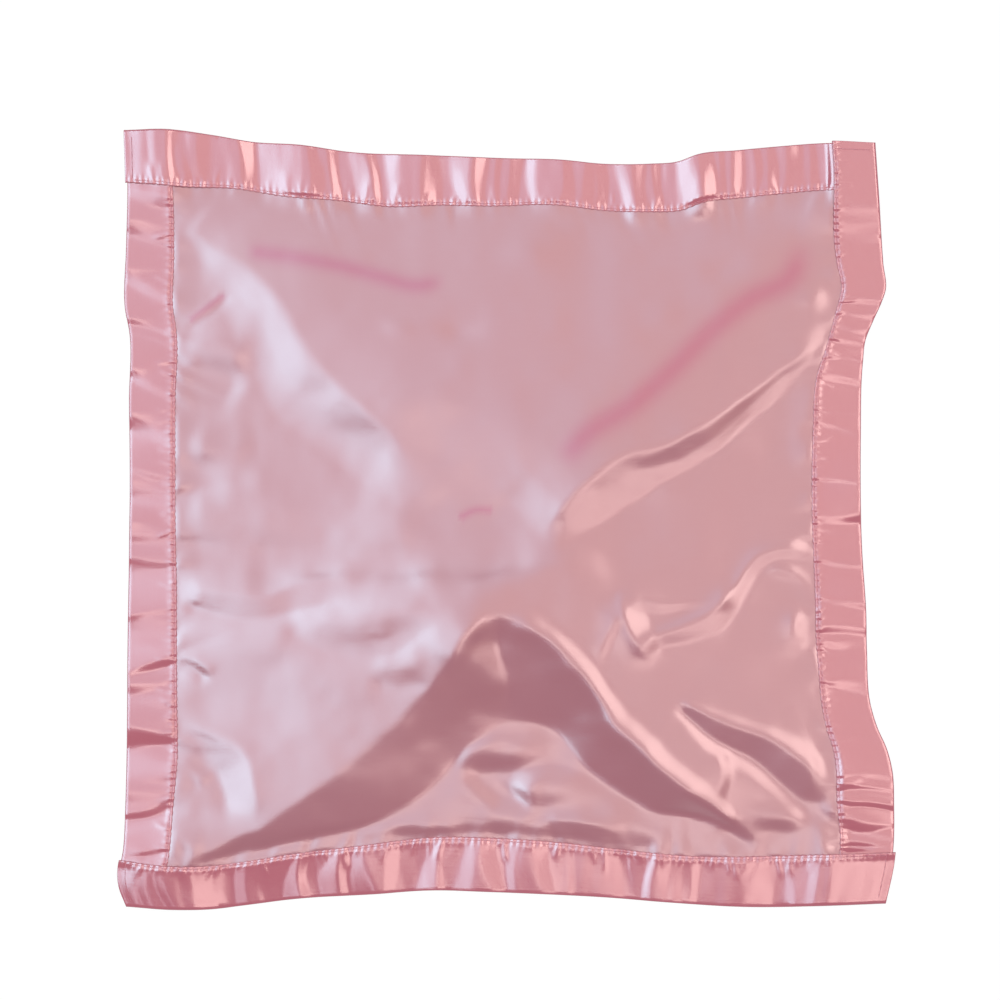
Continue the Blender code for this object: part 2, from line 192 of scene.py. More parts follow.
# Folds: route; half widths (share of the route, mm); slopes across it from left to right (place in
# half widths, slope); how steeply it falls to the right; the share of that fall by which it has
# first risen, over how many mm, and over how many the rest comes back; and the shares of the route
# over which it starts and ends
flank = ((-1, 0), (-0.7, 1), (0.7, 1), (1, 0))
wave = ((-1.2, 0), (-0.3, 1), (0.3, 1), (1.2, 0))
folds = (
    # light outer side of the hollow's right rim
    (((114, -150), (101, -137.5), (82, -123.5), (65, -107.5), (54, -95.5), (44, -80), (33, -67), (23, -56),
      (12, -47), (0, -41)),
     ((0, 3), (0.2, 4.4), (0.6, 5.4), (1, 4)), wave, 0.115, 1, 9, 9, 0.05, 0.15),
    (((-27, -80), (-21, -68), (-15, -56), (-8, -48)),
     ((0, 2), (0.4, 4), (1, 3)), wave, 0.08, 1, 10, 9, 0.4, 0.4),
    # the band from the upper left corner to the middle
    (((-165, 142), (-147, 126), (-128, 108), (-115, 85), (-103, 65), (-85, 46), (-62, 28), (-36, 8)),
     ((0, 7), (0.2, 12), (0.35, 15), (0.55, 15), (0.8, 15), (1, 11)),
     ((-1, 0), (-0.75, 0.9), (-0.1, 1), (0.5, 0.6), (1, 0)), 0.09, 0.5, 60, 50, 0.05, 0.2),
    # the double fold in the upper right, with a lens in it
    (((18, -14), (32, -2), (46, 10), (60, 20), (80, 28.5), (100, 38.5), (120, 54), (140, 69), (160, 81),
      (200, 104)),
     ((0, 6), (0.1, 10), (0.22, 13), (0.33, 10.5), (0.42, 9), (0.53, 6), (0.64, 6.5), (0.7, 8), (1, 9)),
     flank, 0.115, 0.58, 28, 60, 0.1, 0.1),
    (((62, 23.5), (70, 27), (80, 31), (90, 36), (100, 42.5), (110, 50.5), (120, 58.5), (130, 67), (143, 77)),
     ((0, 1.5), (0.15, 4), (0.3, 4.8), (0.5, 3.6), (0.62, 3.2), (0.75, 1.8), (0.88, 2), (1, 1)),
     flank, 0.06, 0.5, 10, 10, 0.1, 0.08),
    # the loop in the right middle
    (((52, -40), (64, -42), (85, -42.5), (100, -43), (113, -41)),
     ((0, 3), (0.3, 4.5), (0.6, 3.6), (1, 4)), flank, 0.095, 1, 6, 9, 0.2, 0.15),
    (((77, -74), (69, -58), (63, -40), (61, -32)),
     ((0, 3), (0.4, 6), (0.8, 6), (1, 4)), flank, 0.09, 1, 7, 9, 0.3, 0.3),
    (((64, -68), (76, -61), (88, -57), (99, -52), (108, -45), (114, -35), (120, -26), (129, -20), (141, -18),
      (158, -24)),
     ((0, 3), (0.2, 5.5), (0.4, 5.5), (0.55, 3.5), (0.75, 4.5), (0.9, 4.5), (1, 4)),
     flank, 0.09, 1, 4, 9, 0.12, 0.04),
    (((124, -28), (138, -29), (148, -34), (158, -42)), ((0, 2.5), (1, 3.5)), flank, 0.1, 1, 4, 9, 0.3, 0.05),
    (((152, -66), (147, -55), (151, -42)), ((0, 3), (0.5, 5), (1, 3)), wave, 0.09, 1, 14, 9, 0.4, 0.4),
    (((47, -74), (52, -61), (58, -47)), ((0, 2), (1, 2.5)), flank, 0.09, 1, 5, 9, 0.25, 0.25),
    # the long lens in the lower right
    (((176, -147), (165, -142), (150, -133), (140, -125.5), (125, -114.5), (110, -108), (100, -102.5),
      (84, -91)),
     ((0, 7), (0.12, 8), (0.3, 9.5), (0.45, 9), (0.6, 8), (0.75, 7.5), (0.86, 5.5), (1, 2.5)),
     ((-1.9, 0), (-1.4, 0.6), (-1.05, 0.6), (-0.6, -0.9), (0.6, -0.9), (1.05, 0.65), (1.4, 0.65), (1.9, 0)),
     0.18, 0.5, 30, 30, 0.03, 0.06),
    (((113, -150), (106, -139), (109, -126), (106, -112)),
     ((0, 2.4), (1, 3.2)), flank, 0.08, 1, 9, 9, 0.08, 0.2),
    # the left middle: soft folds that run towards the crown
    (((-166, -5), (-140, -7), (-110, -8), (-80, -10), (-50, -13), (-30, -14)),
     ((0, 11), (0.3, 13), (0.7, 12), (1, 8)), wave, 0.05, 0.6, 26, 9, 0.12, 0.2),
    (((-164, -36), (-142, -41), (-120, -42), (-104, -37), (-86, -35), (-66, -38)),
     ((0, 4), (0.3, 6.5), (0.5, 6), (0.7, 7), (1, 5)), flank, 0.085, 0.4, 7, 8, 0.1, 0.3),
    (((-112, -46), (-97, -53), (-80, -56), (-62, -55), (-46, -50), (-32, -44)),
     ((0, 3), (0.3, 8), (0.6, 10), (0.85, 7), (1, 4)), ((-1.1, 0), (-0.5, 1), (0.2, 1), (1.2, 0)),
     0.075, 0.4, 8, 12, 0.12, 0.2),
    (((-70, -56), (-63, -57.5), (-57, -57.5)), ((0, 0.8), (1, 0.9)), flank, 0.08, 0.5, 4, 4, 0.3, 0.3),
    (((-70, -75), (-52, -77), (-34, -74)), ((0, 5), (1, 6)), wave, 0.06, 0.5, 9, 9, 0.3, 0.3),
    (((-163, 70), (-150, 75), (-138, 75), (-124, 70)),
     ((0, 6), (0.5, 10), (1, 6)), wave, 0.1, 0.5, 12, 9, 0.2, 0.3),
    (((-160, 30), (-140, 27), (-120, 28)), ((0, 6), (1, 8)), wave, 0.07, 0.5, 14, 12, 0.3, 0.3),
    # the lower left
    (((-166, -110), (-150, -113), (-138, -121), (-132, -135), (-130, -152)),
     ((0, 6), (0.4, 9), (1, 7)), flank, 0.085, 0.45, 10, 14, 0.12, 0.25),
    # short creases beside the left seam
    (((-159, 93), (-149, 103), (-138, 113)), ((0, 2), (1, 2.2)),
     ((-2.4, 0), (-2, -0.4), (-1, -0.4), (-0.6, 1), (0.6, 1), (1, -0.4), (2, -0.4), (2.4, 0)),
     0.09, 0.5, 10, 10, 0.15, 0.15),
    (((-166, -38), (-158, -40), (-149, -43)), ((0, 2.5), (1, 1)), flank, 0.16, 0.5, 5, 5, 0.05, 0.3),
    (((-164, -70), (-155, -72), (-146, -79)), ((0, 2), (1, 2)), flank, 0.16, 0.5, 5, 5, 0.1, 0.3),
    (((-166, -119), (-158, -124), (-149, -133)), ((0, 2), (1, 2)), flank, 0.18, 0.5, 6, 6, 0.05, 0.2),
    (((-170, -152), (-161, -157), (-153, -167)), ((0, 2), (1, 2)), flank, 0.18, 0.5, 6, 6, 0.05, 0.2),
    # the island on the hollow's floor
    (((-24, -127), (-14, -121), (-2, -118), (10, -119), (22, -125)),
     ((0, 3), (0.4, 7), (1, 3)), wave, 0.18, 0.4, 10, 14, 0.25, 0.45),
    (((-8, -129), (3, -133), (14, -141)), ((0, 3), (1, 4)), wave, 0.15, 0.5, 9, 9, 0.3, 0.3),
    (((14, -150), (26, -152), (42, -156), (58, -163)),
     ((0, 2), (0.8, 3), (1, 2)), wave, 0.13, 0.8, 9, 5, 0.2, 0.2),
    # the top of the hollow
    (((-22, -66), (-15, -58), (-6, -54), (5, -56), (16, -63)),
     ((0, 4), (0.5, 6), (1, 4)), wave, 0.07, 0.7, 9, 12, 0.3, 0.3),
)
# Small pale dents: place, size and height, longer from side to side
dents = ((-53, 94, 5, 0.3), (-24, 93, 5, -0.3), (9, 131, 7, 0.35), (106, 124, 7, -0.3), (76, 101, 6, 0.25),
         (-155, 38, 6, 0.3), (-150, 62, 7, 0.25), (150, 108, 6, 0.5), (-132, 17, 8, 0.3), (148, -52, 6, 0.4),
         (149, 44, 4, 0.3))
dentStretch = 1.6
# The cloth is nowhere quite flat or straight: (size in mm, height or shift in mm)
waves = {"height": ((46, 0.36), (19, 0.13), (8, 0.03)), "shift": ((38, 1.6), (13, 0.8)), "seed": 5,
         "rumple": 1.3, "rumpleSize": (19, 12), "tableSoft": 0.15, "tableLift": 0.104}


def softMin(values, softness):
    values = np.stack(values)
    low = values.min(0)
    return low - softness * np.log(np.exp(-(values - low) / softness).sum(0))


def softPlus(value, soft):
    return soft * np.logaddexp(0, value / soft)


def between(heights, i, j, s, t):
    # shares s and t of the way from one height of a grid to the next ones
    return ((heights[i, j] * (1 - s) + heights[i + 1, j] * s) * (1 - t)
            + (heights[i, j + 1] * (1 - s) + heights[i + 1, j + 1] * s) * t)


def unevenField(x, y, size, seed):
    # smooth random hills and hollows from -1 to 1, about size apart
    cells = 96
    drawn = np.random.default_rng(seed)
    heights = drawn.uniform(-1, 1, (cells, cells))
    a, b = x / size + cells / 2, y / size + cells / 2
    i, j = np.floor(a).astype(int), np.floor(b).astype(int)
    s, t = a - i, b - j
    return between(heights, i, j, s ** 3 * (s * (s * 6 - 15) + 10), t ** 3 * (t * (t * 6 - 15) + 10))


def unevenSum(x, y, parts, seed):
    return sum(high * unevenField(x, y, size, seed + k) for k, (size, high) in enumerate(parts))


def foldHeight(side, behind, widths, cross, steep, rise, back, front, start, end):
    # the fall across the fold, from its slopes, with its rise before and its return behind
    swell, samples = 2.6, 80
    places, slopes = np.array(cross, float).T
    fine = np.linspace(places[0], places[-1], samples)
    slope = np.interp(fine, places, slopes) * steep
    fall = np.concatenate([[0], np.cumsum((slope[1:] + slope[:-1]) / 2 * np.diff(fine))])
    wide = smoothLine(widths, behind)
    place = -side / wide
    before = np.clip(1 + (place - fine[0]) * wide / (swell * back), 0, 1) ** swell
    past = np.clip(1 - (place - fine[-1]) * wide / (swell * front), 0, 1) ** swell
    shape = rise * fall[-1] - np.interp(place, fine, fall)
    shape = np.where(place < fine[0], rise * fall[-1] * before, shape)
    shape = np.where(place > fine[-1], (rise - 1) * fall[-1] * past, shape)
    return shape * wide * ease(behind / start) * ease((1 - behind) / end)


def relief(x, y, fromLeft, fromRight, fromTop, fromBottom, held):
    # height of the folds over the flat cloth at (x, y), from and in metres
    x, y = x / mm, y / mm
    seed = waves["seed"]
    hills = unevenSum(x, y, waves["height"], seed + 20)
    x, y = x + unevenSum(x, y, waves["shift"], seed), y + unevenSum(x, y, waves["shift"], seed + 10)
    height = softMin([fromLeft / mm * smoothLine(crown["leftSlope"], y),
                      fromRight / mm * smoothLine(crown["rightSlope"], y), fromTop / mm * crown["topSlope"],
                      fromBottom / mm * smoothLine(crown["bottomSlope"], x)], crown["softness"])
    past, along = besideRoute(x, y, hollow["rim"])
    ahead, _ = besideRoute(x, y, hollow["floor"])
    share = past / (np.maximum(past, 0) + softPlus(-ahead, hollow["floorGap"]) + hollow["leastGap"])
    share = np.where(past < 0, past / hollow["outerReach"], share)
    drop = softPlus(share, hollow["rimSoft"]) - softPlus(share - 1, hollow["floorSoft"])
    height = height - smoothLine(hollow["depth"], x) * drop * ease(along / hollow["rimStart"])
    edgeReach, edgeWaver, waverSize = hollow["floorEdge"]
    ramp = edgeReach + edgeWaver * unevenField(x, x * 0, waverSize, seed + 40)
    begin, over = hollow["floorFrom"]
    rightX, rightReach, rightDrop = hollow["floorRight"]
    leftX, leftReach, leftDrop = hollow["floorLeft"]
    level = (hollow["floorLevel"] * ease(fromBottom / mm / ramp) * ease((share - begin) / over)
             * (1 - rightDrop * ease((x - rightX) / rightReach))
             * (1 - leftDrop * ease((leftX - x) / leftReach)))
    settle, dip = hollow["settle"]
    base = level + softPlus(height - level, settle) - dip * np.exp(-np.maximum(height - level, 0) / settle)
    wideSize, highSize = waves["rumpleSize"]
    rumple = unevenField(x, y * wideSize / highSize, wideSize, seed + 30)
    begin, over = hollow["looseFrom"]
    cornerX, cornerY, cornerReach, cornerShare = hollow["looseCorner"]
    inCorner = cornerShare * ease((x - cornerX) / cornerReach) * ease((cornerY - y) / cornerReach)
    loose = np.maximum(ease((share - begin) / over), inCorner)
    hills = hills + waves["rumple"] * rumple * loose
    height = np.zeros_like(x)
    for route, *shape in folds:
        height = height + foldHeight(*besideRoute(x, y, route), *shape)
    for atX, atY, size, rise in dents:
        hills = hills + rise * np.exp(-((x - atX) / size / dentStretch) ** 2 - ((y - atY) / size) ** 2)
    return (softPlus(base + (height + hills) * held, waves["tableSoft"]) - waves["tableLift"]) * mm


def nearEnd(along, size):
    inset = np.minimum(along, size - along)
    return 1 - ease((inset - coverEnd) / blanket["coverEase"])


def seamShift(edge, share, inset):
    shift = smoothLine(seamShifts[edge], share) * mm
    return shift * np.minimum(inset / band, 1) * ease(1 - (inset - band) / seamBlend)


edgeLengths = {"left": length, "right": length, "top": width, "bottom": width}
# At its first and last end a ribbon lies turned in over the next one, or else under it
shownEnds = {"left": (False, False), "top": (True, False), "right": (False, True), "bottom": (True, True)}
edgeSeeds = {"left": 1, "top": 2, "right": 3, "bottom": 4}
# Flat facets between soft folds across each ribbon, from its left or lower end in mm: place at the
# outer fold and at the seam, half widths at both, and how steeply the facet falls towards the far
# end, in thousandths
ribbonBands = {
    "top": ((5, 7, 4, 4, -53), (14, 16, 2.8, 2.3, -55), (25, 27, 2.8, 3.4, 158), (35, 39, 3.4, 3.4, -73),
        (49, 50, 4, 7.9, -75), (62, 63, 4, 4, 177), (76, 78, 10.2, 10.8, -93), (95, 97, 2.8, 3.4, 98),
        (105, 108, 2.8, 2.8, 169), (117, 119, 4, 2.3, -90), (124, 127, 2.3, 2.3, 157), (135, 137, 4, 4, -93),
        (155, 154, 4.5, 5.1, 144), (168, 172, 3.4, 2.8, -100), (181, 179, 4, 3.4, 147),
        (190, 189, 1.7, 1.7, 102), (199, 195, 3.4, 3.4, 129), (206, 207, 2.5, 2.3, -108),
        (225, 223, 2.8, 4, 97), (235, 235, 2.3, 4, 109), (242, 241, 2.8, 2.3, 122),
        (251, 255, 2.8, 2.3, -117), (261, 262, 4, 4, 125), (270, 271, 2.8, 2.8, 117),
        (283, 287, 4, 4.5, -112), (294, 296, 4, 4, 170), (303, 303, 1.7, 2.3, 120), (311, 310, 3.4, 3.4, 165),
        (320, 319, 1.7, 1.7, 100), (327, 326, 2.3, 2.3, 150), (338, 337, 5.1, 6.2, 165),
        (346, 347, 2, 2.3, 140)),
    "bottom": ((2, 6, 3.4, 4.5, -65), (11, 15, 2.3, 2.3, -53), (25, 20, 2.3, 2.3, -68),
        (36, 33, 3.4, 2.3, -78), (58, 60, 4, 4, -90), (83, 88, 5.1, 2, -96), (90, 92, 2.3, 2.3, 114),
        (102, 107, 5.1, 2.3, -101), (109, 111, 2.3, 2.3, 99), (120, 116, 5.7, 3.4, -99),
        (132, 135, 2.3, 4, 95), (150, 156, 6.2, 2, -112), (158, 159, 2, 1.7, 81), (169, 174, 5.7, 2.3, -77),
        (187, 182, 4.5, 2.8, 115), (194, 194, 2.8, 2.8, -81), (213, 207, 4, 4, 100), (224, 221, 2.3, 2.3, 62),
        (231, 232, 2.8, 2.3, 61), (247, 242, 7.9, 3.4, 93), (261, 264, 2.5, 2, -125),
        (275, 270, 7.4, 6.8, 80), (286, 284, 3.4, 3.4, 85), (319, 315, 13, 7.4, 85), (341, 337, 4, 3.4, 74),
        (349, 348, 2.3, 2.3, 59), (356, 354, 2.8, 2.8, 64), (368, 364, 5.1, 4, 68), (376, 374, 2.8, 2.8, 66)),
    "left": ((356, 350, 4, 2.8, -80), (335, 328, 2.8, 2.3, -80), (313, 299, 3.4, 2, -75),
        (291, 282, 2, 1.4, -75), (284, 276, 1.1, 1.1, -75), (264, 252, 2.8, 2, -75),
        (238, 228, 5.7, 2.3, -70), (217, 212, 1.7, 1.7, -80), (202, 198, 2.3, 2.8, -70),
        (182, 180, 2.3, 2.8, -60), (172, 170, 1.7, 1.4, -75), (143, 147, 1.4, 1.7, -75),
        (115, 124, 1.4, 2, -170), (104, 109, 2, 2.3, 80), (85, 83, 5.1, 1.4, -170), (76, 74, 2.8, 3.4, 70),
        (62, 66, 1.7, 2.3, -75), (46, 54, 1.4, 2, -160), (40, 47, 2.8, 3.4, 80), (26, 35, 1.4, 2, -150),
        (21, 29, 2.3, 2.8, 70)),
    "right": ((21, 25, 2.3, 2.3, -80), (26, 31, 1.4, 2.5, -270), (32, 37, 2.5, 2.3, -80),
        (39, 42, 1.4, 2.5, -250), (43, 46, 2.5, 1.7, -80), (48, 51, 1.4, 2.5, -270), (53, 56, 2.5, 2.3, -80),
        (57, 60, 1.1, 1.7, -200), (63, 66, 2.8, 2.3, -70), (84, 89, 2.8, 1.7, -50), (108, 112, 4, 1.4, -100),
        (131, 133, 2.5, 3.4, -100), (138, 139, 2, 2.5, -110), (151, 153, 1.7, 1.1, -70),
        (171, 175, 1.4, 1.1, -100), (187, 189, 2.5, 1.1, -90), (195, 196, 2.5, 3.4, -110),
        (213, 215, 1.1, 1.1, -80), (237, 244, 2.5, 2.3, -100), (249, 251, 1.1, 1.1, -70),
        (263, 268, 2.3, 2.8, -110), (275, 278, 1.4, 1.7, -90), (283, 287, 2.5, 1.7, -100),
        (290, 294, 2.3, 1.7, -100), (298, 300, 2.5, 2.3, -90), (305, 307, 1.7, 1.7, -100)),
}
edgeWave = {
    "shape": ((-1.4, 0), (-0.5, 1), (0.4, 0.9), (1.4, 0)),  # how a facet's slope swells across it
    "step": 0.25,  # mm along the edge
    "margin": 40,  # mm past each of its ends
    "columns": 9,  # places across the ribbon
    "level": 90,  # mm over which the facets' falls are made up again
    "kernel": 360,  # steps to either side that this looks at
    "wander": 1.5,  # mm that a facet swings to a side between its two ends,
    "swell": 0.3,  # the share by which it widens there,
    "fade": 0.4,  # and by which it is steeper at one end
    "streaks": (0.07, 6, 5),  # small ones: height, their number across the ribbon, size
    "past": 10 * mm,  # how far the waves run into the panel,
    "seamShare": 0.45,  # by how much they are less there,
    "seamEase": 4 * mm,  # and over what length they become less, also at a covered end
    "seed": 90,
}


def makeEdgeWave(edge):
    # heights along an edge and across its ribbon, added up from the facets' slopes
    step, margin, kernel = edgeWave["step"], edgeWave["margin"], edgeWave["kernel"]
    size = edgeLengths[edge] / mm
    seed = edgeWave["seed"] + edgeSeeds[edge]
    drawn = np.random.default_rng(seed)
    along = np.arange(-margin, size + margin, step)[:, None]
    across = np.linspace(0, 1, edgeWave["columns"])
    places, slopes = np.array(edgeWave["shape"]).T
    slope = np.zeros((len(along), len(across)))
    wander, swell, fade = edgeWave["wander"], edgeWave["swell"], edgeWave["fade"]
    arch = np.sin(np.pi * across)
    for atFold, atSeam, wideFold, wideSeam, steep in ribbonBands[edge]:
        place = atFold + (atSeam - atFold) * across + drawn.uniform(-wander, wander) * arch
        wide = (wideFold + (wideSeam - wideFold) * across) * (1 + drawn.uniform(-swell, swell) * arch)
        fades = 1 + drawn.uniform(-fade, fade) * (2 * across - 1)
        slope += steep / 1000 * fades * np.interp((along - place) / wide, places, slopes)
    height = -np.cumsum(slope, 0) * step
    near = np.exp(-(np.arange(-kernel, kernel + 1) * step * 2 / edgeWave["level"]) ** 2)
    padded = np.pad(height, ((kernel, kernel), (0, 0)), mode="edge")
    even = np.stack([np.convolve(column, near / near.sum(), "valid") for column in padded.T], 1)
    high, number, wide = edgeWave["streaks"]
    streaks = unevenField(along - size / 2 + 0 * across, across * number + 0 * along, wide, seed + 5)
    return (height - even + high * streaks) * mm


edgeWaves = {edge: makeEdgeWave(edge) for edge in edgeLengths}


def waveHeight(edge, along, inset):
    heights, size = edgeWaves[edge], edgeLengths[edge]
    i = np.clip((along / mm + edgeWave["margin"]) / edgeWave["step"], 0, heights.shape[0] - 2)
    j = np.clip(inset / band, 0, 0.9999) * (heights.shape[1] - 1)
    a, b = i.astype(int), j.astype(int)
    height = between(heights, a, b, i - a, j - b)
    reach = edgeWave["seamEase"]
    for shown, past in zip(shownEnds[edge], (along - band, size - band - along)):
        if not shown:
            height = height * ease(past / reach)
    height = height * (1 - edgeWave["seamShare"] * ease((inset - band + reach) / reach))
    return height * ease(1 - np.maximum(inset - band, 0) / edgeWave["past"])


# How much lower than its seam each outer fold lies, in mm, from the left or lower end
ribbonLean = {
    "left": ((15, 0.39), (25, 0.39), (38, 0.54), (51, 0.24), (59, -0.14), (64, 0.32), (73, 0.54), (83, -0.14),
        (93, -0.28), (101, 0.32), (111, -0.36), (119, 0.16), (128, 0.46), (136, 0.39), (145, -0.21),
        (153, 0.24), (163, 0.54), (175, -0.21), (180, -0.06), (191, -0.43), (201, 0.24), (212, -0.36),
        (223, -0.28), (235, 0.32), (246, -0.43), (258, -0.06), (275, -0.43), (285, -0.06), (295, -0.36),
        (306, -0.06), (323, -0.43), (333, -0.06), (341, -0.43), (347, -0.21), (360, 0.24), (374, -0.06)),
    "right": ((15, 0.8), (25, 0.8), (49, 0.8), (69, 0.7), (98, 0.6), (109, 1), (125, 0.6), (135, 1),
        (143, 0.6), (184, 0.6), (194, 1.1), (202, 0.6), (232, 0.6), (243, 0.9), (256, 0.6), (265, 0.9),
        (275, 0.6), (284, 0.8), (301, 0.75), (320, 0.6), (345, 0.5), (374, 0.5)),
    "top": ((0, 0.1), (379, 0.1)),
    "bottom": ((0, 1.2), (60, 1.25), (120, 1.1), (177, 0.95), (217, 0.9), (286, 0.9), (379, 0.8)),
}
seamHold = 14 * mm  # the seams hold the folds down this far into the panel,
seamStart = 3 * mm  # and everything this far


def lay(u, v, offset):
    # where the flat cloth's point (u, v) lies, offset above the middle of its layers
    s, t = u / width, v / length
    left, right, bottom, top = (smoothLine(np.array(outlineShares[edge]) / 1000, place)
                                for edge, place in (("left", t), ("right", t), ("bottom", s), ("top", s)))
    drawnX, drawnY = left * (1 - s) - right * s, bottom * (1 - t) - top * t
    x, y = u + width * (drawnX - 0.5), v + length * (drawnY - 0.5)
    x += seamShift("left", t, u) - seamShift("right", t, width - u)
    y += seamShift("bottom", s, v) - seamShift("top", s, length - v)
    inset = np.minimum(np.minimum(u, width - u), np.minimum(v, length - v)) - band
    corner = nearEnd(u, width) * nearEnd(v, length)
    loose = inset > 0
    lifted = np.zeros_like(x)
    lifted[loose] = relief(x[loose], y[loose], (u - band)[loose], (width - band - u)[loose],
                           (length - band - v)[loose], (v - band)[loose], ease(inset[loose] / seamHold))
    lifted[loose] *= ease(inset[loose] / seamStart)
    z = restHeight + coverStep * corner + lifted + offset
    beside = (("left", u, v), ("right", width - u, v), ("bottom", v, u), ("top", length - v, u))
    for edge, inward, sideways in beside:
        z += waveHeight(edge, sideways, inward)
        z -= smoothLine(ribbonLean[edge], sideways / mm) * mm * np.maximum(1 - inward / band, 0)
    return np.stack([x, y, z], -1)


def addObject(name, data):
    made = bpy.data.objects.new(name, data)
    bpy.context.scene.collection.objects.link(made)
    return made


def clothPiece(name, points, faces, uvs, material, thickness):
    mesh = bpy.data.meshes.new(name)
    mesh.from_pydata(points.reshape(-1, 3).tolist(), [], faces.tolist())
    layer = mesh.uv_layers.new(name="weave")
    loops = np.array(faces).reshape(-1)
    layer.data.foreach_set("uv", uvs.reshape(-1, 2)[loops].astype(np.float32).reshape(-1))
    mesh.shade_smooth()
    mesh.materials.append(material)
    piece = addObject(name, mesh)
    solid = piece.modifiers.new("cloth thickness", "SOLIDIFY")
    solid.thickness = thickness
    solid.offset = 0
    return piece


def gridFaces(columns, rows):
    first = (np.arange(columns - 1)[:, None] * rows + np.arange(rows - 1)).reshape(-1)
    return np.stack([first, first + rows, first + rows + 1, first + 1], 1)


def linear(hexColour):
    # sRGB hex to the linear colour that the shaders take
    parts = [int(hexColour[k:k + 2], 16) / 255 for k in (1, 3, 5)]
    return tuple(c / 12.92 if c <= 0.04045 else ((c + 0.055) / 1.055) ** 2.4 for c in parts) + (1,)


def setInputs(node, inputs):
    # i3 is the fourth input, for nodes with several of one name. A node stands for its first output
    for name, value in inputs.items():
        socket = node.inputs[int(name[1:]) if name[1:].isdigit() else name]
        if isinstance(value, bpy.types.Node):
            value = value.outputs[0]
        if isinstance(value, bpy.types.NodeSocket):
            node.id_data.links.new(value, socket)
        else:
            socket.default_value = value


def addNode(tree, kind, settings=None, **inputs):
    node = tree.nodes.new("ShaderNode" + kind)
    for name, value in (settings or {}).items():
        setattr(node, name, value)
    setInputs(node, inputs)
    return node


def newMaterial(name):
    made = bpy.data.materials.new(name)
    made.use_nodes = True
    return made, made.node_tree, made.node_tree.nodes["Principled BSDF"]


# Woven polyester satin: long floats on the shiny side. The light runs off them sideways, so a
# highlight is smeared across the floats and breaks up sharply along them
pinkYarn = {"fold": "#a23c5e", "floatShade": 0.25, "dyeShade": 0.6, "floatDull": 0.04}
satins = {
    "panel satin": {**pinkYarn, "base": "#a5656e", "pale": "#a76d76", "roughness": 0.18,
                    "floatPitch": 0.9 * mm, "size": (length, width)},
    "ribbon satin": {**pinkYarn, "base": "#b15b68", "pale": "#b76672", "roughness": 0.14,
                     "floatPitch": 0.8 * mm, "size": (2 * band, width)},
}
satins["back satin"] = satins["panel satin"]  # the same cloth


def satin(name):
    look = satins[name]
    made, tree, shader = newMaterial(name)
    weaveMap = addNode(tree, "UVMap", {"uv_map": "weave"})
    # U runs across the floats and V along them, both stretched to the cloth's size in metres
    cloth = addNode(tree, "Mapping", Vector=weaveMap, Scale=(*look["size"], 1))
    tangent = addNode(tree, "Tangent", {"direction_type": "UV_MAP", "uv_map": "weave"})
    # floats: fine threads side by side, drawn some four times coarser than the real 0.2 mm
    stretched = addNode(tree, "Mapping", Vector=cloth, Scale=(1, 0.06, 1))
    floats = addNode(tree, "TexNoise", {"noise_dimensions": "2D"}, Vector=stretched,
                     Scale=1 / look["floatPitch"], Detail=3.0, Roughness=0.6)
    # slubs and dye: the cloth is a touch paler here and there
    dye = addNode(tree, "TexNoise", {"noise_dimensions": "2D"}, Vector=cloth, Scale=28.0, Detail=3.0,
                  Roughness=0.55)
    shade = addNode(tree, "Math", {"operation": "MULTIPLY"}, i0=floats, i1=look["floatShade"])
    both = addNode(tree, "Math", {"operation": "MULTIPLY_ADD"}, i0=dye, i1=look["dyeShade"], i2=shade)
    woven = addNode(tree, "Mix", {"data_type": "RGBA"}, i0=both, i6=linear(look["base"]),
                    i7=linear(look["pale"]))
    # the back layer's folds show through the thin face as dull pink streaks
    under = addNode(tree, "Attribute", {"attribute_name": "underFold"})
    shown = addNode(tree, "Mix", {"data_type": "RGBA"}, i0=under.outputs["Fac"], i6=woven.outputs[2],
                    i7=linear(look["fold"]))
    dull = addNode(tree, "Math", {"operation": "MULTIPLY_ADD"}, i0=floats, i1=look["floatDull"],
                   i2=look["roughness"] - look["floatDull"] / 2)
    bump = addNode(tree, "Bump", Strength=0.3, Distance=0.03 * mm, Height=floats)
    setInputs(shader, {"Base Color": shown.outputs[2], "Roughness": dull, "Normal": bump, "Tangent": tangent,
                       "IOR": 1.6, "Specular IOR Level": 0.95, "Anisotropic": 0.2, "Sheen Weight": 0.05,
                       "Sheen Roughness": 0.4})
    return made


# Spun polyester sewing thread: two plies twisted together, dull next to the satin
def threadMaterial():
    made, tree, shader = newMaterial("spun polyester thread")
    where = addNode(tree, "TexCoord")
    plies = addNode(tree, "TexWave", {"bands_direction": "DIAGONAL"}, Vector=where.outputs["Object"],
                    Scale=1600.0, Distortion=1.0)
    colour = addNode(tree, "Mix", {"data_type": "RGBA"}, i0=plies.outputs["Fac"], i6=linear("#b56673"),
                     i7=linear("#d98c98"))
    bump = addNode(tree, "Bump", Strength=0.4, Distance=0.04 * mm, Height=plies.outputs["Fac"])
    setInputs(shader, {"Base Color": colour.outputs[2], "Normal": bump, "Roughness": 0.5,
                       "Sheen Weight": 0.3})
    return made


panelSatin, backSatin, ribbonSatin = satin("panel satin"), satin("back satin"), satin("ribbon satin")
sewingThread = threadMaterial()
print("materials made")

